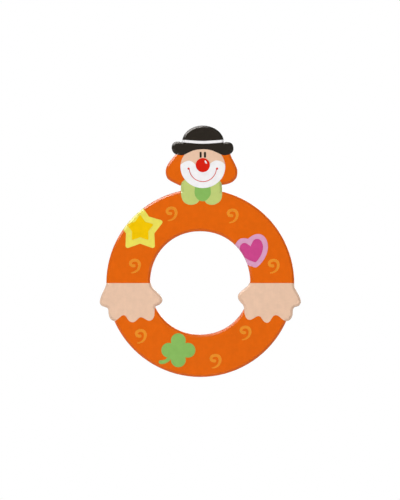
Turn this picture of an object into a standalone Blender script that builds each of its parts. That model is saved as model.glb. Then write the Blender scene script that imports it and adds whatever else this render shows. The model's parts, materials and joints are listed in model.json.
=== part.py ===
"""A wooden letter O with a clown's head and hands: a sawn board, its painted fields and its foam pads."""

import math

import bmesh
import bpy
from mathutils import Vector
from mathutils.geometry import delaunay_2d_cdt

MM = 0.001

# Sizes in millimetres. X runs to the right, Z runs up from the foot of the ring, and the front faces -Y.
BOARD = 5.6
EDGE = 1.1
COAT = 0.2
SEAM = 0.02
LAP = 0.05
PAD = 1.0
PAD_MARGIN = 2.275

RING = 41.2
HOLE_ACROSS = 43.9
HOLE_TALL = 45.3
HOLE_X = -0.05
HAND_LONG = 17.0
LEFT_HAND_IN = 0.225
RIGHT_HAND_IN = 0.325
WRIST_DROP = 0.1
CUFF_TALL = 1.5
CUFF_SHARE = 0.93

HEAD_X = 1.1
HEAD_ABOVE_RING = 9.6
FACE_ACROSS = 19.5
FACE_TALL = 18.4
NOSE_ACROSS = 6.1
GLINT_LONG = 1.5
GLINT_WIDE = 0.62
EYE_WIDE = 0.8
EYE_TALL = 2.5
EYES_APART = 1.9
SMILE_ACROSS = 11.9
SMILE_WIDE = 0.2
SMILE_END = 0.85

STAR_TIP = 10.9
STAR_NOTCH = 6.5
STAR_CENTRE_TIP = 6.15
STAR_CENTRE_NOTCH = 3.7
STAR_SOFTNESS = 0.9
STAR_CENTRE_SOFTNESS = 0.35
HEART_TALL = 14.5
LEAF_ACROSS = 6.4
STEM_WIDE = 1.55
CURL_TALL = 6.3

# Shape of the curves: the length of their straight sides, the face's sides in degrees and the two angles that
# the muzzle lies between, the corners of the eased edge as shares of its width and depth, and how square the
# hole's oval is.
RING_SIDE = 2.7
HOLE_SIDE = 2.2
FACE_STEP = 6
MUZZLE_ENDS = (174, 366)
EASED = ((0.8, 0.42), (0.32, 0.88))
HOLE_SQUARENESS = 2.07

# Each motif's place on the ring: its angle in degrees, and how far it lies outside the middle of the band.
# These and the motifs' sizes are for a ring of the drawn sizes below, and grow with the band where they lie.
STAR_AT = (137.9, 3.6)
HEART_AT = (32.4, -5.13)
CLOVER_AT = (251.9, -1.0)
CURLS_AT = (
    (112.4, 0.79),
    (64.1, 0.7),
    (165.4, -2.18),
    (12.9, 1.43),
    (222.0, 3.0),
    (312.3, -2.35),
    (281.2, 2.91),
)
PADS_AT = {"pad_top": 90, "pad_left": 210, "pad_right": 330}

# Sizes at which the outlines below are drawn: the ring with its hole, and then each piece. Each outline is
# scaled from these to the sizes above.
DRAWN_RING = (41.2, 43.9, 45.3)
DRAWN_HAND = 17.0
DRAWN_FACE_ACROSS = 19.5
DRAWN_FACE_TALL = 18.4
DRAWN_NOSE = 6.1
DRAWN_SMILE = 11.9
DRAWN_HEART = 14.5
DRAWN_LEAF = 6.4
DRAWN_CURL = 6.3

# Derived sizes.
CENTRE = RING
BAND = RING - HOLE_ACROSS / 2
BAND_BELOW = RING - HOLE_TALL / 2
RING_MIDDLE = RING - BAND / 2
RING_POINTS = 2 * round(math.pi * RING / RING_SIDE)
HOLE_POINTS = 2 * round(math.pi * (HOLE_ACROSS + HOLE_TALL) / 4 / HOLE_SIDE)
HEAD_Z = 2 * RING + HEAD_ABOVE_RING
FEATURE = min(FACE_ACROSS / DRAWN_FACE_ACROSS, FACE_TALL / DRAWN_FACE_TALL)
HALF = BOARD / 2 + COAT + SEAM
WRIST = CENTRE - WRIST_DROP
PAD_ACROSS = min(BAND, BAND_BELOW) - 2 * PAD_MARGIN
DEPTH = HALF + BOARD / 2 + SEAM + PAD

# Each finish: its base colour, its roughness and the pieces that have it.
FINISHES = {
    "bare_wood": ((0.62, 0.43, 0.25), 0.65, ["letter_board"]),
    "orange_paint": ((0.753, 0.130, 0.005), 0.4, ["hair_left", "hair_right", "ring_upper", "ring_lower"]),
    "skin_paint": ((0.799, 0.539, 0.386), 0.4, ["face", "hand_left", "hand_right"]),
    "white_paint": ((0.880, 0.863, 0.871), 0.4, ["muzzle", "nose_glint", "hat_band"]),
    "red_paint": ((0.676, 0.019, 0.008), 0.4, ["nose", "smile"]),
    "black_paint": ((0.027, 0.022, 0.017), 0.4, ["eye_left", "eye_right", "hat_crown", "hat_brim"]),
    "light_green_paint": ((0.521, 0.610, 0.188), 0.4, ["bow_left", "bow_right"]),
    "green_paint": ((0.246, 0.479, 0.112), 0.4, ["bow_knot", "clover"]),
    "gold_paint": ((0.888, 0.546, 0.001), 0.4, ["star_centre"]),
    "yellow_paint": ((0.815, 0.723, 0.109), 0.4, ["star_border"]),
    "magenta_paint": ((0.597, 0.065, 0.254), 0.4, ["heart_centre"]),
    "pink_paint": ((0.701, 0.342, 0.527), 0.4, ["heart_border"]),
    "amber_paint": ((0.807, 0.279, 0.024), 0.4, [f"curl_{number}" for number in range(1, len(CURLS_AT) + 1)]),
    "foam": ((0.82, 0.81, 0.77), 0.9, list(PADS_AT)),
}
SHARP_FROM = math.radians(50)

# The painted fields whose outlines make up the head's.
HEAD = ("hair_left", "hair_right", "bow_left", "bow_right", "bow_knot", "face", "hat_crown", "hat_brim")


def smooth(points, closed=False, steps=2):
    """Points along a curve that passes smoothly through the given ones."""
    count = len(points)
    spans = count if closed else count - 1
    curve = []
    for span in range(spans):
        near = [span - 1, span, span + 1, span + 2]
        if closed:
            near = [index % count for index in near]
        else:
            near = [min(max(index, 0), count - 1) for index in near]
        for step in range(steps):
            t = step / steps
            weights = (
                (2 - t) * t * t - t,
                (3 * t - 5) * t * t + 2,
                ((4 - 3 * t) * t + 1) * t,
                (t - 1) * t * t,
            )
            columns = zip(*(points[index] for index in near))
            curve.append(tuple(sum(w * v for w, v in zip(weights, column)) / 2 for column in columns))
    if not closed:
        curve.append(points[-1])
    return curve


def shifted(points, x, z, across=1.0, tall=1.0):
    """The points, scaled and then moved."""
    return [(x + across * point[0], z + tall * point[1]) for point in points]


def hole_edge(angle, across, tall):
    """How far from its middle the hole's edge lies at this angle in degrees."""
    sideways = abs(2 * math.cos(math.radians(angle)) / across) ** HOLE_SQUARENESS
    upwards = abs(2 * math.sin(math.radians(angle)) / tall) ** HOLE_SQUARENESS
    return (sideways + upwards) ** (-1 / HOLE_SQUARENESS)


def growth(angle):
    """How many times wider the ring's band is at this angle than it is drawn."""
    ring, *hole_size = DRAWN_RING
    return (RING - hole_edge(angle, HOLE_ACROSS, HOLE_TALL)) / (ring - hole_edge(angle, *hole_size))


def on_ring(angle, out):
    """The place at this angle around the ring, this far outside the middle of its band as drawn."""
    far = (RING + hole_edge(angle, HOLE_ACROSS, HOLE_TALL)) / 2 + growth(angle) * out
    return (far * math.cos(math.radians(angle)), CENTRE + far * math.sin(math.radians(angle)))


def on_band(points, place, size=1.0):
    """The points of a motif, scaled with the band and laid at its place on the ring."""
    across = size * growth(place[0])
    return shifted(points, *on_ring(*place), across, across)


def oval(x, z, across, tall, count, start=0.0, end=360.0, power=2.0):
    """Points of an ellipse, or of a squarer oval when the power is over 2, between two angles in degrees."""
    whole = end - start == 360.0
    points = []
    for index in range(count):
        angle = math.radians(start + (end - start) * index / (count if whole else count - 1))
        cosine = math.cos(angle)
        sine = math.sin(angle)
        out = (abs(cosine) ** power + abs(sine) ** power) ** (-1 / power)
        points.append((x + across / 2 * cosine * out, z + tall / 2 * sine * out))
    return points


def rounded(corners, radii, steps=3):
    """The polygon's outline with each corner turned into an arc of its own radius, or left sharp at 0."""
    outline = []
    count = len(corners)
    for index, radius in enumerate(radii):
        corner = Vector(corners[index])
        back = (Vector(corners[index - 1]) - corner).normalized()
        ahead = (Vector(corners[(index + 1) % count]) - corner).normalized()
        if not radius:
            outline.append(tuple(corner))
            continue
        half = back.angle(ahead) / 2
        middle = corner + (back + ahead).normalized() * radius / math.sin(half)
        first = corner + back * radius / math.tan(half) - middle
        last = corner + ahead * radius / math.tan(half) - middle
        for step in range(steps + 1):
            outline.append(tuple(middle + first.slerp(last, step / steps) * radius))
    return outline


def stroke(points, steps=2):
    """Outline of a brush stroke through (x, z, width) points, with round ends."""
    line = smooth(points, steps=steps)
    left = []
    right = []
    ends = []
    for index, (x, z, width) in enumerate(line):
        before = line[max(index - 1, 0)]
        after = line[min(index + 1, len(line) - 1)]
        along = Vector((after[0] - before[0], after[1] - before[1])).normalized()
        side = Vector((-along.y, along.x)) * width / 2
        left.append((x + side.x, z + side.y))
        right.append((x - side.x, z - side.y))
        ends.append((x, z, width / 2, math.atan2(along.y, along.x)))
    outline = list(right)
    for x, z, radius, heading in (ends[-1], (*ends[0][:3], ends[0][3] + math.pi)):
        for turn in (-45, 0, 45):
            angle = heading + math.radians(turn)
            outline.append((x + radius * math.cos(angle), z + radius * math.sin(angle)))
        if len(outline) < 2 * len(right):
            outline += left[::-1]
    return outline


def turned_left(outline):
    """The outline running counter-clockwise."""
    area = sum(a[0] * b[1] - b[0] * a[1] for a, b in zip(outline, outline[1:] + outline[:1]))
    return outline if area > 0 else outline[::-1]


def merged(layers, least=0.12):
    """Outlines of layers laid over each other: (outline, True) adds and (outline, False) cuts away."""
    corners = []
    faces = []
    for outline, _ in layers:
        faces.append(list(range(len(corners), len(corners) + len(outline))))
        corners += [Vector(point) for point in turned_left(outline)]
    points, _, pieces, _, _, owners = delaunay_2d_cdt(corners, [], faces, 1, 1e-5)
    sides = set()
    for piece, owner in zip(pieces, owners):
        if not owner or not layers[max(owner)][1]:
            continue
        for start, end in zip(piece, piece[1:] + piece[:1]):
            if (end, start) in sides:
                sides.remove((end, start))
            else:
                sides.add((start, end))
    follows = dict(sides)
    loops = []
    while follows:
        first, here = follows.popitem()
        loop = [first]
        while here != first:
            loop.append(here)
            here = follows.pop(here)
        kept = []
        for index in loop:
            if not kept or (points[index] - kept[-1]).length > least:
                kept.append(points[index])
        loops.append([tuple(point) for point in kept])
    return loops


def hole():
    return oval(HOLE_X, CENTRE, HOLE_ACROSS, HOLE_TALL, HOLE_POINTS, power=HOLE_SQUARENESS)


def ring_half(outer, inner):
    """Half of the ring between two pairs of angles, as one outline."""
    out = oval(0, CENTRE, 2 * RING, 2 * RING, RING_POINTS // 2, *outer)
    back = oval(HOLE_X, CENTRE, HOLE_ACROSS, HOLE_TALL, HOLE_POINTS // 2, *inner, power=HOLE_SQUARENESS)
    return out + back[::-1]


def hand(points, x, cuff):
    """Outline of a hand from its wrist down, or, with a cuff, of the shape that is sawn with it."""
    if cuff:
        first, last = ((CUFF_SHARE * point[0], CUFF_TALL) for point in (points[0], points[-1]))
        points = [first, *points[1:-1], last]
    return turned_left(shifted(smooth(points), x, WRIST, growth(180), HAND_LONG / DRAWN_HAND))


def left_hand(cuff=False):
    side = [(-10.0, 0.0), (-10.2, -1.4), (-11.0, -3.2), (-12.2, -5.9), (-12.7, -8.2), (-12.1, -9.7)]
    little = [(-10.5, -10.4), (-9.1, -11.1), (-8.9, -13.0), (-8.5, -14.9), (-7.4, -16.2), (-6.0, -16.5)]
    ring = [(-4.6, -15.5), (-3.2, -14.3), (-2.1, -13.9), (-1.1, -14.5), (-0.1, -16.1), (1.0, -16.9)]
    middle = [(2.2, -17.0), (3.5, -16.1), (4.5, -15.1), (5.6, -14.8), (7.1, -15.5), (8.9, -16.4)]
    index = [(10.4, -15.7), (11.2, -14.1), (11.3, -11.5), (11.8, -10.1), (13.5, -9.4), (14.7, -8.0)]
    thumb = [(14.5, -6.2), (12.9, -4.4), (11.0, -2.5), (10.1, -1.1), (9.9, 0.0)]
    return hand(side + little + ring + middle + index + thumb, LEFT_HAND_IN - RING_MIDDLE, cuff)


def right_hand(cuff=False):
    thumb = [(-9.8, 0.0), (-10.2, -0.9), (-11.6, -2.1), (-13.5, -3.7), (-14.7, -5.2), (-14.6, -6.9)]
    index = [(-13.5, -8.5), (-12.4, -9.7), (-12.0, -11.5), (-11.8, -13.5), (-11.0, -15.3), (-9.6, -16.0)]
    middle = [(-8.1, -15.4), (-6.8, -14.6), (-5.7, -14.3), (-4.7, -14.8), (-3.7, -16.3), (-2.3, -17.3)]
    ring = [(-0.9, -16.7), (0.0, -15.2), (0.8, -14.2), (1.9, -13.9), (3.3, -14.5), (5.0, -16.0)]
    little = [(6.8, -16.6), (8.3, -15.8), (9.2, -13.9), (9.3, -11.9), (10.0, -10.5), (11.8, -10.0)]
    side = [(12.8, -8.5), (12.5, -6.5), (11.4, -4.2), (10.2, -2.0), (10.0, 0.0)]
    return hand(thumb + index + middle + ring + little + side, RING_MIDDLE - RIGHT_HAND_IN, cuff)


def on_head(points):
    return shifted(points, HEAD_X, HEAD_Z, FACE_ACROSS / DRAWN_FACE_ACROSS, FACE_TALL / DRAWN_FACE_TALL)


def left_hair():
    edge = [(-11.2, 6.6), (-12.0, 5.4), (-13.3, 3.9), (-15.3, 1.3), (-16.3, -1.4), (-16.0, -4.0)]
    end = [(-15.1, -5.4), (-13.2, -6.6), (-10.0, -8.1)]
    hidden = [(-8.2, -7.8), (-6.0, -5.0), (-6.0, 7.8), (-9.4, 8.0)]
    return on_head(smooth(edge + end) + hidden)


def right_hair():
    edge = [(11.6, 6.6), (12.3, 5.2), (12.8, 3.9), (14.2, 1.3), (15.2, -1.4), (15.0, -4.0)]
    end = [(14.3, -5.3), (12.9, -6.6), (10.6, -7.5), (8.6, -7.8)]
    hidden = [(7.0, -7.4), (6.0, -5.0), (6.0, 7.8), (10.4, 8.0)]
    return on_head(smooth(edge + end) + hidden)


def crown():
    return on_head(oval(0.1, 10.9, 18.4, 14.6, 28, -6, 186))


def brim():
    left = [(-8.6, 11.0), (-11.7, 11.1), (-13.2, 10.2), (-13.7, 8.3), (-13.1, 6.6), (-11.8, 5.6), (-9.8, 5.2)]
    under = [(-8.1, 5.4), (-4.3, 7.2), (0.0, 7.8), (4.0, 7.3), (8.2, 5.4)]
    right = [(10.1, 5.2), (12.0, 5.7), (13.3, 7.0), (13.5, 8.7), (12.9, 10.2), (11.6, 10.9), (9.4, 11.0)]
    return on_head(smooth(left + under + right) + [(4.5, 10.7), (0.1, 10.6), (-4.3, 10.7)])


def band():
    upper = [(-9.8, 11.9), (-4.0, 11.5), (0.1, 11.3), (4.2, 11.5), (10.0, 11.9)]
    lower = [(10.0, 10.9), (4.4, 10.4), (0.1, 10.2), (-4.2, 10.4), (-9.8, 10.9)]
    return on_head(smooth(upper, steps=4) + smooth(lower, steps=4))


def face():
    return oval(HEAD_X, HEAD_Z, FACE_ACROSS, FACE_TALL, round(360 / FACE_STEP))


def muzzle():
    first, last = MUZZLE_ENDS
    below = oval(0, 0, DRAWN_FACE_ACROSS, DRAWN_FACE_TALL, round((last - first) / FACE_STEP) + 1, first, last)
    right = [(9.1, 1.6), (7.9, 2.4), (6.1, 2.8), (4.8, 2.5), (3.4, 1.5), (0.1, -0.5)]
    left = [(-3.3, 1.0), (-4.3, 2.0), (-6.0, 2.7), (-8.1, 2.1)]
    return on_head(below + smooth([below[-1], *right, *left, below[0]])[1:-1])


def on_nose(points):
    size = FEATURE * NOSE_ACROSS / DRAWN_NOSE
    return shifted(points, *on_head([(0, 0.8)])[0], size, size)


def nose():
    return on_nose(oval(0, 0, DRAWN_NOSE, DRAWN_NOSE, 30))


def nose_glint():
    lean = math.radians(-62)
    turned = []
    for x, z in oval(0, 0, GLINT_LONG, GLINT_WIDE, 12):
        turned.append((x * math.cos(lean) - z * math.sin(lean), x * math.sin(lean) + z * math.cos(lean)))
    return on_nose(shifted(turned, 1.3, 1.3))


def eye(side):
    wide = FEATURE * EYE_WIDE / 2
    tall = FEATURE * EYE_TALL / 2
    x, z = on_head([(0, 5.3)])[0]
    corners = [(wide, tall), (-wide, tall), (-wide, -tall), (wide, -tall)]
    return shifted(rounded(corners, [0.75 * wide] * 4, 2), x + side * FEATURE * EYES_APART / 2, z)


def smile():
    size = FEATURE * SMILE_ACROSS / DRAWN_SMILE
    line = [(x, z, SMILE_WIDE / size) for x, z in oval(0, 0, DRAWN_SMILE, DRAWN_SMILE, 22, 184, 356)]
    layers = [(stroke(line, steps=1), True)]
    for side in (-1, 1):
        layers.append((oval(side * 6.25, -0.25, SMILE_END, SMILE_END, 10), True))
    x, z = on_head([(0, -0.5)])[0]
    return shifted(merged(layers, 0.02)[0], x, z, size, size)


def left_bow():
    edge = [(-8.0, -5.7), (-9.1, -6.7), (-9.6, -8.4), (-9.5, -11.9), (-8.8, -14.5), (-7.4, -16.0)]
    end = [(-5.0, -16.6), (-2.8, -16.0), (-1.7, -14.9)]
    hidden = [(-0.6, -12.0), (-0.6, -6.0), (-5.6, -4.5)]
    return on_head(smooth(edge + end) + hidden)


def right_bow():
    end = [(0.9, -14.9), (1.8, -16.0), (3.8, -16.6)]
    edge = [(5.9, -16.1), (7.7, -14.7), (8.3, -12.8), (8.5, -9.9), (8.3, -7.6), (7.7, -6.5)]
    hidden = [(6.4, -5.0), (0.9, -6.0), (0.9, -12.0)]
    return on_head(smooth(end + edge) + hidden)


def bow_knot():
    left = [(-3.2, -8.2), (-3.6, -10.9), (-3.2, -12.8), (-2.1, -14.2), (-0.8, -14.9)]
    right = [(0.8, -14.9), (2.1, -14.0), (3.3, -12.3), (3.5, -10.9), (3.2, -8.2)]
    hidden = [(2.4, -6.5), (-2.4, -6.5)]
    return on_head(smooth(left + right) + hidden)


def star(tip, notch, softness):
    corners = []
    for index in range(10):
        angle = math.radians(90 + 36 * index)
        out = notch if index % 2 else tip
        corners.append((out * math.cos(angle), out * math.sin(angle)))
    return on_band(rounded(corners, [softness, 0] * 5, 4), STAR_AT)


def on_heart(points):
    return on_band(points, HEART_AT, HEART_TALL / DRAWN_HEART)


def heart_border():
    left = [(-1.6, 5.0), (-3.5, 5.3), (-5.4, 4.8), (-6.8, 3.2), (-7.7, 1.0), (-7.1, -2.2), (-4.7, -4.6)]
    point = [(-1.4, -6.5), (0.2, -7.0), (1.6, -7.4), (3.0, -6.7)]
    right = [(5.3, -3.9), (6.7, -0.7), (7.0, 2.0), (6.3, 4.8), (4.5, 6.7), (2.4, 7.1), (0.3, 6.4)]
    return on_heart(smooth(left + point + right + left[:1], steps=3)[:-1])


def heart_centre():
    upper_left = [(-0.5, 1.7), (-1.4, 2.4), (-2.4, 3.0), (-3.6, 3.2), (-4.7, 2.4)]
    lower_left = [(-5.2, 0.9), (-4.6, -1.7), (-2.7, -3.3), (-1.0, -4.3), (1.6, -5.2)]
    lower_right = [(2.4, -4.5), (3.6, -2.8), (4.6, -0.5), (4.9, 1.7), (4.5, 3.3)]
    upper_right = [(3.7, 4.5), (2.4, 5.0), (1.0, 4.5), (0.2, 3.2), (-0.5, 1.7)]
    return on_heart(smooth(upper_left + lower_left) + smooth(lower_right + upper_right)[:-1])


def clover():
    size = LEAF_ACROSS / DRAWN_LEAF
    width = STEM_WIDE / size
    stem = [(-3.2, -2.4, width), (-4.6, -4.2, width), (-6.3, -5.1, width), (-7.8, -5.2, width)]
    layers = [(stroke(stem, steps=3), True)]
    for x, z in ((0, 4.2), (4.2, 0), (0, -4.2), (-4.2, 0)):
        layers.append((oval(x, z, DRAWN_LEAF, DRAWN_LEAF, 26), True))
    layers.append((oval(0, 0, DRAWN_LEAF, DRAWN_LEAF, 12), True))
    return on_band(merged(layers)[0], CLOVER_AT, size)


def curl(place):
    inner = [(-0.5, 0.1, 1.25), (-1.6, 0.25, 1.1), (-2.1, 1.15, 1.1), (-1.5, 2.2, 1.1), (-0.1, 2.6, 1.1)]
    outer = [(1.3, 2.1, 1.15), (1.9, 0.8, 1.15), (1.75, -0.5, 1.0), (1.0, -1.85, 0.8), (-0.3, -2.7, 0.55)]
    end = [(-1.5, -2.95, 0.35)]
    return on_band(stroke(inner + outer + end), place, CURL_TALL / DRAWN_CURL)


def painted_fields():
    """Outline of each painted field, in the order in which they are laid over each other."""
    fields = {
        "hair_left": left_hair(),
        "hair_right": right_hair(),
        "ring_upper": ring_half((-1, 181), (-2, 182)),
        "ring_lower": ring_half((193, 347), (204, 336)),
        "bow_left": left_bow(),
        "bow_right": right_bow(),
        "bow_knot": bow_knot(),
        "face": face(),
        "muzzle": muzzle(),
        "smile": smile(),
        "nose": nose(),
        "nose_glint": nose_glint(),
        "eye_left": eye(-1),
        "eye_right": eye(1),
        "hat_crown": crown(),
        "hat_brim": brim(),
        "hat_band": band(),
        "hand_left": left_hand(),
        "hand_right": right_hand(),
        "star_border": star(STAR_TIP, STAR_NOTCH, STAR_SOFTNESS),
        "star_centre": star(STAR_CENTRE_TIP, STAR_CENTRE_NOTCH, STAR_CENTRE_SOFTNESS),
        "heart_border": heart_border(),
        "heart_centre": heart_centre(),
        "clover": clover(),
    }
    for number, place in enumerate(CURLS_AT, 1):
        fields[f"curl_{number}"] = curl(place)
    return {name: turned_left(outline) for name, outline in fields.items()}


def silhouette(fields):
    """Outlines of the whole board: the ring with its hole, and the head and hands over it."""
    layers = [(oval(0, CENTRE, 2 * RING, 2 * RING, RING_POINTS), True), (hole(), False)]
    for name in HEAD:
        layers.append((fields[name], True))
    layers += [(left_hand(cuff=True), True), (right_hand(cuff=True), True)]
    return merged(layers)


def ease(drawn, depth):
    """Gives a curve's slab eased edges: a flat slope, with a steeper and a shallower one beside it."""
    drawn.bevel_mode = "PROFILE"
    drawn.bevel_resolution = len(EASED)
    drawn.bevel_depth = depth * MM
    for across, up in EASED:
        drawn.bevel_profile.points.add(across, up)
    for corner in drawn.bevel_profile.points:
        corner.handle_type_1 = "VECTOR"
        corner.handle_type_2 = "VECTOR"
    drawn.bevel_profile.update()


def slab(name, outlines, half, grow=0.0, edge=0.0):
    """Closed mesh of flat outlines, grown to the sides, with eased edges and half its depth each way."""
    drawn = bpy.data.curves.new(name, "CURVE")
    drawn.dimensions = "2D"
    drawn.fill_mode = "BOTH"
    drawn.extrude = (half - edge) * MM
    drawn.offset = (-edge if edge else grow) * MM
    if edge:
        ease(drawn, edge + grow)
    for outline in outlines:
        spline = drawn.splines.new("POLY")
        spline.points.add(len(outline) - 1)
        spline.use_cyclic_u = True
        for point, (x, z) in zip(spline.points, outline):
            point.co = (x * MM, z * MM, 0, 1)
    flat = bpy.data.objects.new(name, drawn)
    mesh = bpy.data.meshes.new_from_object(flat)
    mesh.name = name
    bpy.data.objects.remove(flat)
    work = bmesh.new()
    work.from_mesh(mesh)
    bmesh.ops.remove_doubles(work, verts=work.verts, dist=1e-7)
    bmesh.ops.recalc_face_normals(work, faces=work.faces)
    bmesh.ops.dissolve_limit(work, angle_limit=1e-3, verts=[], edges=work.edges)
    work.to_mesh(mesh)
    work.free()
    return mesh


def placed(name, mesh, collection, parent, depth=0.0):
    """An object with this mesh, at this depth in front of the middle of the board."""
    made = bpy.data.objects.new(name, mesh)
    made.parent = parent
    made.location.z = depth * MM
    collection.objects.link(made)
    return made


def helper(name, mesh, collection, parent, depth=0.0):
    made = placed(name, mesh, collection, parent, depth)
    made.hide_render = True
    made.display_type = "WIRE"
    return made


def combine(target, operation, other):
    step = target.modifiers.new(f"{operation.lower()} {other.name}", "BOOLEAN")
    step.operation = operation
    step.solver = "EXACT"
    step.object = other


def coat_mesh(outlines, cutters, parent):
    """The coat over the board's front and sides, as one shell that is open behind."""
    shell = helper("shell", slab("shell", outlines, HALF, 0.0, EDGE), cutters, parent)
    inside = helper("shell_inside", slab("shell_inside", outlines, HALF, -COAT, EDGE), cutters, parent)
    reach = 2 * RING
    square = [(-reach, -reach), (reach, -reach), (reach, 2 * reach), (-reach, 2 * reach)]
    behind = BOARD / 2 - EDGE + RING
    rear = helper("rear", slab("rear", [square], RING), cutters, parent, -behind)
    combine(shell, "DIFFERENCE", inside)
    combine(shell, "DIFFERENCE", rear)
    bpy.context.view_layer.update()
    graph = bpy.context.evaluated_depsgraph_get()
    return bpy.data.meshes.new_from_object(shell.evaluated_get(graph))


def overlap(one, two):
    """Whether the boxes around two outlines meet."""
    for axis in (0, 1):
        first = [point[axis] for point in one]
        second = [point[axis] for point in two]
        if min(first) > max(second) + 1 or min(second) > max(first) + 1:
            return False
    return True


def settle(pieces):
    """Gives each piece its finish and the mesh that its cuts leave, smooth apart from its sharp edges."""
    bpy.context.view_layer.update()
    graph = bpy.context.evaluated_depsgraph_get()
    cut = {}
    for name, piece in pieces.items():
        cut[name] = bpy.data.meshes.new_from_object(piece.evaluated_get(graph))
    for finish, (colour, roughness, names) in FINISHES.items():
        material = bpy.data.materials.new(finish)
        material.use_nodes = True
        shader = material.node_tree.nodes["Principled BSDF"]
        shader.inputs["Base Color"].default_value = (*colour, 1.0)
        shader.inputs["Roughness"].default_value = roughness
        shader.inputs["Metallic"].default_value = 0.0
        for name in names:
            mesh = cut[name]
            mesh.name = name
            mesh.shade_smooth()
            mesh.set_sharp_from_angle(angle=SHARP_FROM)
            mesh.materials.clear()
            mesh.materials.append(material)
            pieces[name].modifiers.clear()
            pieces[name].data = mesh


def main():
    for old in list(bpy.data.objects):
        bpy.data.objects.remove(old)
    parts = bpy.data.collections.new("clown_letter")
    cutters = bpy.data.collections.new("cutters")
    for collection in (parts, cutters):
        bpy.context.scene.collection.children.link(collection)
    letter = bpy.data.objects.new("letter", None)
    letter.rotation_euler.x = math.pi / 2
    letter.location.y = (HALF - DEPTH / 2) * MM
    parts.objects.link(letter)

    fields = painted_fields()
    outlines = silhouette(fields)
    pieces = {}
    board = slab("letter_board", outlines, HALF, -COAT - SEAM, EDGE)
    pieces["letter_board"] = placed("letter_board", board, parts, letter)

    coat = coat_mesh(outlines, cutters, letter)
    areas = {}
    keep_clear = {}
    for name, outline in fields.items():
        areas[name] = helper(f"{name}_area", slab(name, [outline], BOARD, LAP), cutters, letter)
        keep_clear[name] = helper(f"{name}_clear", slab(name, [outline], BOARD, LAP + SEAM), cutters, letter)
    names = list(fields)
    for index, name in enumerate(names):
        pieces[name] = placed(name, coat.copy(), parts, letter)
        combine(pieces[name], "INTERSECT", areas[name])
        for above in names[index + 1:]:
            if overlap(fields[name], fields[above]):
                combine(pieces[name], "DIFFERENCE", keep_clear[above])

    for name, angle in PADS_AT.items():
        disc = slab(name, [oval(*on_ring(angle, 0), PAD_ACROSS, PAD_ACROSS, 40)], PAD / 2)
        pieces[name] = placed(name, disc, parts, letter, -BOARD / 2 - SEAM - PAD / 2)
    settle(pieces)


main()
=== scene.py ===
"""Looks of the wooden clown letter: satin paint over a birch board, and the foam pads behind it."""

import json
import math

import bmesh
import bpy
from mathutils import Matrix, Vector

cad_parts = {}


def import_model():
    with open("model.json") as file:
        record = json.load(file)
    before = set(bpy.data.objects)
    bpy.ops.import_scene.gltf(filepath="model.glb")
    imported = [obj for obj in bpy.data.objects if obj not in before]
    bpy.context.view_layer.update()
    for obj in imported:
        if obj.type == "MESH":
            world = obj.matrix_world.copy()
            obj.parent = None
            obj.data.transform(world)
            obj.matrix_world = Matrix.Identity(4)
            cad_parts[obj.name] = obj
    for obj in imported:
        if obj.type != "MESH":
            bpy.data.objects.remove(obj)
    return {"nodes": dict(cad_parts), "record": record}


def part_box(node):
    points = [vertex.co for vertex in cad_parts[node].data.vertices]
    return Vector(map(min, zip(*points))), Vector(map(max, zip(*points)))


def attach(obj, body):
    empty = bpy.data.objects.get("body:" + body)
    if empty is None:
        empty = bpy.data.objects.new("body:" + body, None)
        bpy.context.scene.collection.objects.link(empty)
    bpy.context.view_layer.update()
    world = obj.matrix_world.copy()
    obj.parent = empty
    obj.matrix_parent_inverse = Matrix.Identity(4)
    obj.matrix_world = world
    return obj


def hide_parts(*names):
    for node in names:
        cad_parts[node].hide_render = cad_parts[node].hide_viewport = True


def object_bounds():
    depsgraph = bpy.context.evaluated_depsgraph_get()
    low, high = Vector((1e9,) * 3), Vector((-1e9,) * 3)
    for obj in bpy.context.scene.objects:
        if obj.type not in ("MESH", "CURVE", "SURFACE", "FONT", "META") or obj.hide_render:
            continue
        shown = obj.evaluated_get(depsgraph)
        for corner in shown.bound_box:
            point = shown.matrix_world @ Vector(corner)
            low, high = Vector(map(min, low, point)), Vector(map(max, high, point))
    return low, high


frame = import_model()
cad_low, cad_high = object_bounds()

MM = 0.001
WHITE = (1, 1, 1)

# The photograph's frame: its height at the painted front, and the point in its middle.
FRAME_TALL = 218.75 * MM
FRAME_MIDDLE = (-0.13 * MM, 55.64 * MM)
LENS = 150
SENSOR = 36

# The eased edges, in millimetres along Y: where the painted front and the bare back lie, the two edges'
# depths, and the shares of an edge's depth at which its flat slope starts and ends.
FRONT = cad_low.y / MM
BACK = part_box("letter_board")[1].y / MM
EDGE = 1.1
BACK_EDGE = 0.88
SLOPE = (0.12, 0.58)

# The slope's tilt in the shading, in degrees. It is a little flatter than the solid's, so that it mirrors
# the strip lights. Each turn says where along Y it starts and ends, and how much it adds to the tilt.
SLOPE_TILT = 41.4
TURNS = (
    (FRONT, FRONT + SLOPE[0] * EDGE, SLOPE_TILT),
    (FRONT + SLOPE[1] * EDGE, FRONT + EDGE, 90 - SLOPE_TILT),
    (BACK - BACK_EDGE, BACK - SLOPE[1] * BACK_EDGE, 90 - SLOPE_TILT),
    (BACK - SLOPE[0] * BACK_EDGE, BACK, SLOPE_TILT),
)

# The least tilt beside the flat front, in degrees. A face is part of that front where the Y of its normal
# is below FLAT.
LEAST_TILT = 33.0
FLAT = -0.98

# Edges sharper than SHARP_FROM stay sharp, and on the front's rim those sharper than RIM_FROM. The limit
# goes from one to the other over RIM_DEPTH millimetres. A face keeps its own normal where the cosine of the
# angle between it and the new one is below FACING.
SHARP_FROM = math.radians(42)
RIM_FROM = math.radians(10)
RIM_DEPTH = 0.15
FACING = 0.25

# Points nearer to each other than this, in millimetres, are welded for the shading.
WELD = 0.001

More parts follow.
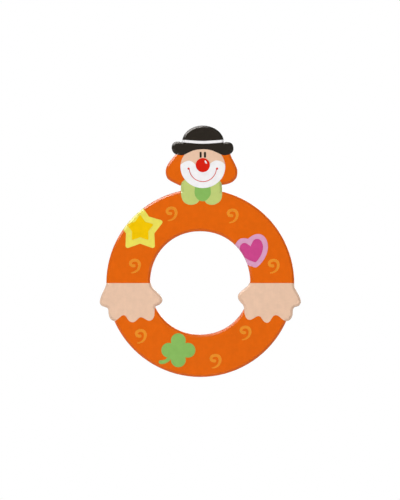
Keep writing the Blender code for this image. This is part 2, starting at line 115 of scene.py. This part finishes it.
# A foam pad's outline, from its middle in front to its middle behind, as shares of its radius and depth; the
# waves of its cut edge, as waves round it and their height; how far these may take it in; and how squarely
# its sticky faces look along Y.
PADS = ("pad_top", "pad_left", "pad_right")
PAD_PROFILE = (
    (0.30, 0.0), (0.65, 0.0), (0.90, 0.0), (0.95, 0.01), (0.98, 0.05), (0.996, 0.13), (0.993, 0.26),
    (0.984, 0.40), (0.981, 0.50), (0.984, 0.60), (0.993, 0.74), (1.0, 0.87), (0.985, 0.95), (0.955, 0.99),
    (0.90, 1.0), (0.65, 1.0), (0.30, 1.0),
)
PAD_WAVES = ((3, 0.0035), (5, 0.0025), (11, 0.0012))
PAD_LOSS = 0.0075
PAD_POINTS = 96
STICKY = 0.95

# A noise is given as its waves in a millimetre along X, Y and Z, then the number and the strength of its
# finer layers. Nearly all of its values lie in the first range, and the common ones in the second.
NEARLY_ALL = (0.25, 0.75)
COMMON = (0.3, 0.7)

# Satin paint: its noises, how far they tint and shade the colour, its gloss, and its bumps in millimetres
# with the share that each noise has in them.
PAINT_GRAIN = ((1.5, 1.5, 0.06), 4.0, 0.6)
PAINT_CLOUD = ((0.10, 0.10, 0.08), 3.0, 0.5)
PAINT_MOTTLE = ((0.45, 0.45, 0.45), 3.0, 0.6)
PAINT_PEEL = ((2.2, 2.2, 2.2), 2.0, 0.5)
CLOUD_TINT = (0.97, 1.03)
MOTTLE_SHADE = (0.95, 1.05)
GRAIN_SHADE = (0.985, 1.015)
PAINT_IOR = 1.5
PAINT_ROUGH = (0.16, 0.20)
PAINT_BUMP = 0.001
GRAIN_HEIGHT = 0.6
PEEL_HEIGHT = 0.4

# The paint's rubbed edge: its noise and the values at which it shows, the millimetres behind the front over
# which it comes in and goes out, and how far it goes, to which colour.
RUB = ((0.55, 0.55, 0.4), 5.0, 0.65)
RUB_SHOWS = (0.62, 0.70)
RUB_IN = (0.05, 0.3)
RUB_OUT = (0.5, 1.0)
RUBBED = 0.25
UNDERCOAT = (0.80, 0.72, 0.60)

# Paint colours, in linear light.
PAINTS = {
    "orange_paint": (0.753, 0.129, 0.004),
    "skin_paint": (0.799, 0.539, 0.386),
    "white_paint": (0.880, 0.863, 0.871),
    "red_paint": (0.676, 0.016, 0.006),
    "black_paint": (0.026, 0.021, 0.016),
    "light_green_paint": (0.521, 0.610, 0.188),
    "green_paint": (0.246, 0.479, 0.112),
    "gold_paint": (0.888, 0.546, 0.001),
    "yellow_paint": (0.815, 0.723, 0.109),
    "magenta_paint": (0.597, 0.065, 0.254),
    "pink_paint": (0.701, 0.342, 0.527),
    "amber_paint": (0.807, 0.279, 0.024),
}

# Birch: its year rings' width and drift in millimetres, how late in a year the wood darkens, and by what
# share; its fibres, its slow change of tone and its pores; and its gloss, and its bumps in millimetres.
YEAR_WIDE = 6.5
YEAR_DRIFT = ((0.035, 0.035, 0.010), 2.0, 0.5)
DRIFT_WIDE = 26.0
LATE_POWER = 3.0
LATE_SHARE = 0.55
LATE_WOOD = (0.50, 0.32, 0.165)
FIBRE = ((3.4, 3.4, 0.09), 3.0, 0.6)
FIBRE_SHADE = (0.90, 1.06)
TONE = ((0.05, 0.05, 0.012), 3.0, 0.5)
TONE_COLOURS = ((0.72, 0.53, 0.335), (0.64, 0.45, 0.265))
PORE = ((5.0, 5.0, 0.55), 2.0, 0.5)
PORE_SHOWS = (0.64, 0.72)
PORE_SHARE = 0.5
PORE_COLOUR = (0.30, 0.18, 0.09)
PORE_DEPTH = 0.8
BIRCH_ROUGH = (0.52, 0.70)
BIRCH_BUMP = 0.03

# Foam: the size of its cells in millimetres, its colours and gloss from a cell's middle outwards, and its
# bumps in millimetres.
FOAM_CELL = 0.22
FOAM_CHANGE = (0.1, 0.6)
FOAM_COLOURS = ((0.58, 0.57, 0.53), (0.84, 0.83, 0.80))
FOAM_ROUGH = (0.92, 0.75)
FOAM_BUMP = 0.10

# Adhesive: the size in millimetres of the cells under it, and how these shade it; its waves, and the colours
# that they run between; and its gloss, and its bumps in millimetres with the cells' share in them.
GLUE_CELL = 0.45
GLUE_CHANGE = (0.1, 0.7)
GLUE_SHADE = (0.92, 1.04)
GLUE_WAVE = ((0.45, 0.45, 0.45), 3.0, 0.5)
GLUE_COLOURS = ((0.80, 0.78, 0.68), (0.70, 0.67, 0.55))
GLUE_ROUGH = (0.20, 0.36)
GLUE_BUMP = 0.10
CELL_HEIGHT = 0.3

# The distances from a cell's middle over which the gloss changes, as shares of the cell's size.
CELL_REACH = (0.0, 0.7)

# The floor is a disc below the photograph's frame. It is pale, and greyer in the paint's gloss, and it fades
# into the white backdrop between two distances.
FLOOR_DROP = 150 * MM
FLOOR_RADIUS = 0.85
FLOOR_POINTS = 128
FLOOR_FADE = (0.4, 0.78)
FLOOR_GREY = (0.9, 0.3)
FLOOR_ROUGH = 0.7
FLOOR_SPECULAR = 0.1

# The room's light, as places from in front of the letter (-1) to behind it (1) and the light's level at
# each, and where the white backdrop starts.
ROOM = (
    (-1.0, 0.02), (-0.82, 0.02), (-0.70, 1.16), (-0.46, 1.16),
    (-0.34, 0.03), (0.2, 0.03), (0.5, 0.7), (1.0, 0.7),
)
BACKDROP_FROM = 0.2

# The lights stand round a point. Each has a name, what it makes, its direction from that point, its distance
# and its two sides in metres, and how bright it looks. Three strips make the gloss of the eased edges, in a
# tint of their own. The small light throws the shadow, and isn't mirrored.
AIM = Vector((0, 0, FRAME_MIDDLE[1]))
GLOSS_TINT = (1.0, 0.95, 0.91)
LIGHTS = (
    ("edge_light", "gloss", (-0.44, -0.092, 0.9), 1.0, (0.9, 0.06), 8.6),
    ("edge_wide", "gloss", (-0.44, -0.092, 0.9), 1.1, (1.65, 0.066), 7.4),
    ("rim_light", "gloss", (-0.6, -0.165, 0.8), 1.0, (0.9, 0.05), 6.0),
    ("fill_left", "both", (-0.8, -1.0, 0.25), 2.5, (1.2, 1.2), 4.1),
    ("fill_low", "both", (-0.85, -1.0, -0.12), 2.5, (1.2, 1.2), 1.9),
    ("fill_right", "colour", (0.45, -1.0, 0.8), 2.5, (0.3, 0.3), 55.0),
    ("back_light", "both", (0.35, 1.0, 0.35), 2.0, (1.5, 1.5), 2.8),
)


class Nodes:
    """A node tree, with short ways to add nodes to it."""

    def __init__(self, tree):
        self.tree = tree

    def put(self, socket, value):
        """Joins a socket to another one, or gives it a plain value."""
        if isinstance(value, bpy.types.NodeSocket):
            self.tree.links.new(value, socket)
        else:
            socket.default_value = value

    def add(self, kind, output, inputs, **settings):
        """Adds a node with these inputs and settings, and returns one of its outputs."""
        node = self.tree.nodes.new(kind)
        for name, value in settings.items():
            setattr(node, name, value)
        for name, value in inputs.items():
            self.put(node.inputs[name], value)
        return node.outputs[output]

    def math(self, operation, first, second=0.0):
        return self.add("ShaderNodeMath", 0, {0: first, 1: second}, operation=operation)

    def vector(self, operation, output, *inputs):
        return self.add("ShaderNodeVectorMath", output, dict(enumerate(inputs)), operation=operation)

    def axis(self, vector, name):
        return self.add("ShaderNodeSeparateXYZ", name, {0: vector})

    def span(self, value, low, high, start, end):
        """The value's range from low to high, turned into one from start to end."""
        inputs = {"Value": value, "From Min": low, "From Max": high, "To Min": start, "To Max": end}
        return self.add("ShaderNodeMapRange", 0, inputs)

    def largest(self, first, *others):
        for other in others:
            first = self.math("MAXIMUM", first, other)
        return first

    def mix(self, share, first, second, blend="MIX"):
        """A colour with this share of the second one in it, or blended with it in another way."""
        node = self.tree.nodes.new("ShaderNodeMix")
        node.data_type = "RGBA"
        node.blend_type = blend
        sockets = {socket.identifier: socket for socket in node.inputs}
        self.put(sockets["Factor_Float"], share)
        for name, value in (("A_Color", first), ("B_Color", second)):
            self.put(sockets[name], value if isinstance(value, bpy.types.NodeSocket) else (*value, 1.0))
        return next(socket for socket in node.outputs if socket.identifier == "Result_Color")

    def rays(self):
        """What kind of ray is looking."""
        return self.tree.nodes.new("ShaderNodeLightPath").outputs


class Graph(Nodes):
    """The node tree of one material."""

    def __init__(self, name):
        self.material = bpy.data.materials.new(name)
        self.material.use_nodes = True
        super().__init__(self.material.node_tree)
        self.shader = self.tree.nodes["Principled BSDF"]

    def point(self):
        return self.add("ShaderNodeTexCoord", "Object", {})

    def millimetres(self, stretch=(1, 1, 1)):
        """The point on the object in millimetres, times a stretch along each axis."""
        return self.vector("MULTIPLY", "Vector", self.point(), tuple(value / MM for value in stretch))

    def noise(self, stretch, detail, rough):
        inputs = {"Vector": self.millimetres(stretch), "Scale": 1.0, "Detail": detail, "Roughness": rough}
        return self.add("ShaderNodeTexNoise", "Fac", inputs)

    def cells(self, size):
        """Distance to the middle of the nearest cell, for cells of this size in millimetres."""
        inputs = {"Vector": self.millimetres((1 / size,) * 3), "Scale": 1.0}
        return self.add("ShaderNodeTexVoronoi", "Distance", inputs)

    def grey(self, level):
        return self.add("ShaderNodeCombineColor", 0, {0: level, 1: level, 2: level})

    def shaded(self, colour, shade):
        """The colour times a grey shade."""
        return self.mix(1.0, colour, self.grey(shade), "MULTIPLY")

    def bump(self, height, depth):
        """A bump whose height runs over this depth in millimetres."""
        return self.add("ShaderNodeBump", 0, {"Distance": depth * MM, "Height": height})

    def finish(self, **inputs):
        """Gives the shader its inputs, each named as its socket with _ for a space."""
        for name, value in inputs.items():
            self.put(self.shader.inputs[name.replace("_", " ")], value)
        return self.material


class Fields(Nodes):
    """A geometry node tree that works on the mesh of one node."""

    def __init__(self, name):
        super().__init__(bpy.data.node_groups.new(name, "GeometryNodeTree"))
        for way in ("INPUT", "OUTPUT"):
            self.tree.interface.new_socket("Geometry", in_out=way, socket_type="NodeSocketGeometry")
        self.mesh = self.tree.nodes.new("NodeGroupInput").outputs[0]

    def finish(self, mesh):
        self.put(self.tree.nodes.new("NodeGroupOutput").inputs[0], mesh)
        return self.tree


def tinted(colour, amount):
    return tuple(min(1.0, channel * amount) for channel in colour)


def paint(name, colour):
    """Satin paint on wood: the grain shows through faintly, and handling has rubbed the eased edge."""
    graph = Graph(name)
    grain = graph.noise(*PAINT_GRAIN)
    cloud = graph.noise(*PAINT_CLOUD)
    mottle = graph.noise(*PAINT_MOTTLE)
    peel = graph.noise(*PAINT_PEEL)
    body = graph.mix(cloud, tinted(colour, CLOUD_TINT[0]), tinted(colour, CLOUD_TINT[1]))
    body = graph.shaded(body, graph.span(mottle, *NEARLY_ALL, *MOTTLE_SHADE))
    body = graph.shaded(body, graph.span(grain, *NEARLY_ALL, *GRAIN_SHADE))
    behind = graph.math("SUBTRACT", graph.axis(graph.millimetres(), "Y"), FRONT)
    enters = graph.span(behind, *RUB_IN, 0.0, 1.0)
    leaves = graph.span(behind, *RUB_OUT, 1.0, 0.0)
    rubbed = graph.span(graph.noise(*RUB), *RUB_SHOWS, 0.0, RUBBED)
    rubbed = graph.math("MULTIPLY", rubbed, graph.math("MULTIPLY", enters, leaves))
    body = graph.mix(rubbed, body, UNDERCOAT)
    grain_height = graph.math("MULTIPLY", grain, GRAIN_HEIGHT)
    peel_height = graph.math("MULTIPLY", peel, PEEL_HEIGHT)
    return graph.finish(
        Base_Color=body,
        IOR=PAINT_IOR,
        Roughness=graph.span(peel, *COMMON, *PAINT_ROUGH),
        Normal=graph.bump(graph.math("ADD", grain_height, peel_height), PAINT_BUMP),
    )


def birch():
    """Sanded birch: pale, with year rings, fine fibres, short dark pores and a woolly surface."""
    graph = Graph("bare_birch")
    across = graph.axis(graph.millimetres(), "X")
    drift = graph.math("MULTIPLY", graph.noise(*YEAR_DRIFT), DRIFT_WIDE)
    year = graph.math("FRACT", graph.math("DIVIDE", graph.math("ADD", across, drift), YEAR_WIDE))
    late = graph.math("MULTIPLY", graph.math("POWER", year, LATE_POWER), LATE_SHARE)
    fibre = graph.noise(*FIBRE)
    pore = graph.span(graph.noise(*PORE), *PORE_SHOWS, 0.0, 1.0)
    body = graph.mix(graph.noise(*TONE), *TONE_COLOURS)
    body = graph.mix(late, body, LATE_WOOD)
    body = graph.shaded(body, graph.span(fibre, *COMMON, *FIBRE_SHADE))
    body = graph.mix(graph.math("MULTIPLY", pore, PORE_SHARE), body, PORE_COLOUR)
    height = graph.math("SUBTRACT", fibre, graph.math("MULTIPLY", pore, PORE_DEPTH))
    return graph.finish(
        Base_Color=body,
        Roughness=graph.span(fibre, *COMMON, *BIRCH_ROUGH),
        Normal=graph.bump(height, BIRCH_BUMP),
    )


def foam():
    """White closed-cell foam, with its cells open along the cut side."""
    graph = Graph("pad_foam")
    cell = graph.cells(FOAM_CELL)
    return graph.finish(
        Base_Color=graph.mix(graph.span(cell, *FOAM_CHANGE, 0.0, 1.0), *FOAM_COLOURS),
        Roughness=graph.span(cell, *CELL_REACH, *FOAM_ROUGH),
        Normal=graph.bump(cell, FOAM_BUMP),
    )


def adhesive():
    """Clear adhesive over the foam: a little yellow, glossy, and wavy from the cells under it."""
    graph = Graph("pad_adhesive")
    cell = graph.cells(GLUE_CELL)
    wave = graph.noise(*GLUE_WAVE)
    body = graph.mix(graph.span(wave, *COMMON, 0.0, 1.0), *GLUE_COLOURS)
    height = graph.math("ADD", wave, graph.math("MULTIPLY", cell, CELL_HEIGHT))
    return graph.finish(
        Base_Color=graph.shaded(body, graph.span(cell, *GLUE_CHANGE, *GLUE_SHADE)),
        Roughness=graph.span(cell, *CELL_REACH, *GLUE_ROUGH),
        Normal=graph.bump(height, GLUE_BUMP),
    )


def shading():
    """Shades a mesh smooth apart from sharp edges, and turns its normals evenly over the eased edges."""
    fields = Fields("eased_shading")
    along = fields.axis(fields.add("GeometryNodeInputPosition", 0, {}), "Y")
    behind = fields.math("SUBTRACT", along, FRONT * MM)
    limit = fields.span(behind, 0.0, RIM_DEPTH * MM, RIM_FROM, SHARP_FROM)
    angle = fields.add("GeometryNodeInputMeshEdgeAngle", "Unsigned Angle", {})
    soft = fields.math("LESS_THAN", angle, limit)
    mesh = fields.add("GeometryNodeSetShadeSmooth", 0, {"Geometry": fields.mesh})
    smooth = {"Geometry": mesh, "Shade Smooth": soft}
    mesh = fields.add("GeometryNodeSetShadeSmooth", 0, smooth, domain="EDGE")

    normals = fields.tree.nodes.new("GeometryNodeInputNormal").outputs
    plain = {0: normals["True Normal"]}
    face = fields.add("GeometryNodeFieldOnDomain", 0, plain, data_type="FLOAT_VECTOR", domain="FACE")
    flat = fields.math("LESS_THAN", fields.axis(face, "Y"), FLAT)
    least = fields.math("MULTIPLY", fields.math("SUBTRACT", 1.0, flat), math.radians(LEAST_TILT))
    tilt = 0.0
    for start, end, turn in TURNS:
        more = fields.span(along, start * MM, end * MM, 0.0, math.radians(turn))
        tilt = fields.math("ADD", tilt, more)
    tilt = fields.largest(tilt, least)

    outward = fields.vector("MULTIPLY", "Vector", normals["Normal"], (1, 0, 1))
    outward = fields.vector("NORMALIZE", "Vector", outward)
    aside = {0: outward, "Scale": fields.math("SINE", tilt)}
    aside = fields.add("ShaderNodeVectorMath", "Vector", aside, operation="SCALE")
    ahead = fields.math("MULTIPLY", fields.math("COSINE", tilt), -1.0)
    ahead = fields.add("ShaderNodeCombineXYZ", 0, {"Y": ahead})
    turned = fields.vector("ADD", "Vector", aside, ahead)
    facing = fields.vector("DOT_PRODUCT", "Value", turned, normals["True Normal"])
    outer = fields.add("FunctionNodeCompare", 0, {"A": facing, "B": FACING}, operation="GREATER_THAN")
    choices = {"Switch": outer, "False": normals["Normal"], "True": turned}
    chosen = fields.add("GeometryNodeSwitch", 0, choices, input_type="VECTOR")
    bent = {"Mesh": mesh, "Custom Normal": chosen}
    return fields.finish(fields.add("GeometryNodeSetMeshNormal", 0, bent, mode="FREE", domain="CORNER"))


def dress(node, material, shade):
    """Gives a node its material and its shading."""
    node.data.materials.clear()
    node.data.materials.append(material)
    node.modifiers.new("weld", "WELD").merge_threshold = WELD * MM
    node.modifiers.new("shading", "NODES").node_group = shade


def pad_ring(work, low, high, out, deep):
    """Points round a pad at a share of its radius and of its depth, with the waves of its cut edge."""
    middle = (low + high) / 2
    radius = (high.x - low.x) / 2
    y = low.y + deep * (high.y - low.y)
    ring = []
    for step in range(PAD_POINTS):
        angle = 2 * math.pi * step / PAD_POINTS
        uneven = sum(size * math.sin(waves * angle + middle.x / MM) for waves, size in PAD_WAVES)
        reach = radius * out * (1 - PAD_LOSS + uneven)
        x = middle.x + reach * math.cos(angle)
        z = middle.z + reach * math.sin(angle)
        ring.append(work.verts.new((x, y, z)))
    return ring


def pad(name, side, face):
    """A die-cut foam disc for a plain one: flat sticky faces, soft rims and a side that draws in."""
    low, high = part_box(name)
    work = bmesh.new()
    rings = [pad_ring(work, low, high, out, deep) for out, deep in PAD_PROFILE]
    for one, two in zip(rings, rings[1:]):
        for step in range(PAD_POINTS):
            after = (step + 1) % PAD_POINTS
            work.faces.new((one[step], one[after], two[after], two[step]))
    work.faces.new(rings[0])
    work.faces.new(rings[-1])
    bmesh.ops.recalc_face_normals(work, faces=work.faces)
    for part in work.faces:
        part.smooth = True
        part.material_index = int(abs(part.normal.y) > STICKY)
    mesh = bpy.data.meshes.new(f"{name}_cut")
    work.to_mesh(mesh)
    work.free()
    mesh.materials.append(side)
    mesh.materials.append(face)
    made = bpy.data.objects.new(f"{name}_cut", mesh)
    bpy.context.scene.collection.objects.link(made)
    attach(made, "root")
    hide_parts(name)


def floor_material():
    """Pale, and white to look at further out."""
    graph = Graph("floor")
    rays = graph.rays()
    graph.finish(
        Base_Color=graph.grey(graph.span(rays["Is Glossy Ray"], 0.0, 1.0, *FLOOR_GREY)),
        Roughness=FLOOR_ROUGH,
        Specular_IOR_Level=FLOOR_SPECULAR,
    )
    far = graph.span(graph.vector("LENGTH", "Value", graph.point()), *FLOOR_FADE, 0.0, 1.0)
    shown = graph.largest(rays["Is Camera Ray"], rays["Is Glossy Ray"], rays["Is Transmission Ray"])
    share = graph.math("MULTIPLY", far, shown)
    white = graph.add("ShaderNodeEmission", 0, {"Color": (*WHITE, 1), "Strength": 1.0})
    blend = graph.add("ShaderNodeMixShader", 0, {0: share, 1: graph.shader.outputs[0], 2: white})
    graph.put(graph.tree.nodes["Material Output"].inputs["Surface"], blend)
    return graph.material


def floor():
    """A floor under the letter. It keeps the letter's shadow, and fades into the white room further out."""
    work = bmesh.new()
    bmesh.ops.create_circle(work, cap_ends=True, segments=FLOOR_POINTS, radius=FLOOR_RADIUS)
    mesh = bpy.data.meshes.new("floor")
    work.to_mesh(mesh)
    work.free()
    mesh.materials.append(floor_material())
    made = bpy.data.objects.new("floor", mesh)
    made.location.z = cad_low.z - FLOOR_DROP
    bpy.context.scene.collection.objects.link(made)


def camera():
    """Looks straight at the painted front, from where the photograph's frame fills the picture."""
    data = bpy.data.cameras.new("camera")
    data.lens = LENS
    data.sensor_width = SENSOR
    made = bpy.data.objects.new("camera", data)
    distance = FRAME_TALL * LENS / SENSOR
    x, z = FRAME_MIDDLE
    made.location = (x, cad_low.y - distance, z)
    made.rotation_euler = (math.radians(90), 0, 0)
    bpy.context.scene.collection.objects.link(made)
    bpy.context.scene.camera = made


def panel(name, makes, direction, distance, size, level):
    """A flat light, its first side across the Y axis, that makes gloss, lights colours, or does both."""
    data = bpy.data.lights.new(name, "AREA")
    data.shape = "RECTANGLE"
    data.size, data.size_y = size
    data.energy = level * math.pi * size[0] * size[1]
    if makes == "gloss":
        data.color = GLOSS_TINT
    made = bpy.data.objects.new(name, data)
    way = Vector(direction).normalized()
    across = Vector((0, 1, 0)).cross(way).normalized()
    turned = Matrix((across, way.cross(across), way)).transposed()
    made.matrix_world = Matrix.Translation(AIM + way * distance) @ turned.to_4x4()
    made.visible_glossy = makes != "colour"
    made.visible_diffuse = makes != "gloss"
    bpy.context.scene.collection.objects.link(made)


def world():
    """White to look at. As light it is a soft ring round the camera, so no haze lies on the paint."""
    made = bpy.data.worlds.new("studio")
    made.use_nodes = True
    nodes = Nodes(made.node_tree)
    along = nodes.axis(nodes.add("ShaderNodeTexCoord", "Generated", {}), "Y")
    ramp = nodes.tree.nodes.new("ShaderNodeValToRGB")
    nodes.put(ramp.inputs[0], nodes.span(along, -1.0, 1.0, 0.0, 1.0))
    stops = ramp.color_ramp.elements
    while len(stops) < len(ROOM):
        stops.new(0.5)
    for stop, (place, level) in zip(stops, ROOM):
        stop.position = (place + 1) / 2
        stop.color = (level, level, level, 1)

    rays = nodes.rays()
    backdrop = nodes.math("GREATER_THAN", along, BACKDROP_FROM)
    mirrored = nodes.math("MULTIPLY", rays["Is Glossy Ray"], backdrop)
    shown = nodes.largest(mirrored, rays["Is Camera Ray"], rays["Is Transmission Ray"])
    colour = nodes.mix(shown, ramp.outputs[0], WHITE)
    nodes.put(nodes.tree.nodes["Background"].inputs["Color"], colour)
    bpy.context.scene.world = made


bpy.context.scene.view_settings.view_transform = "Standard"
slot_of = {part["node"]: part["material_slot"] for part in frame["record"]["subparts"]}
materials = {name: paint(name, colour) for name, colour in PAINTS.items()}
materials["bare_wood"] = birch()
materials["foam"] = foam()
shade = shading()
for name, node in frame["nodes"].items():
    dress(node, materials[slot_of[name]], shade)
sticky = adhesive()
for name in PADS:
    pad(name, materials["foam"], sticky)

camera()
floor()
world()
for light in LIGHTS:
    panel(*light)
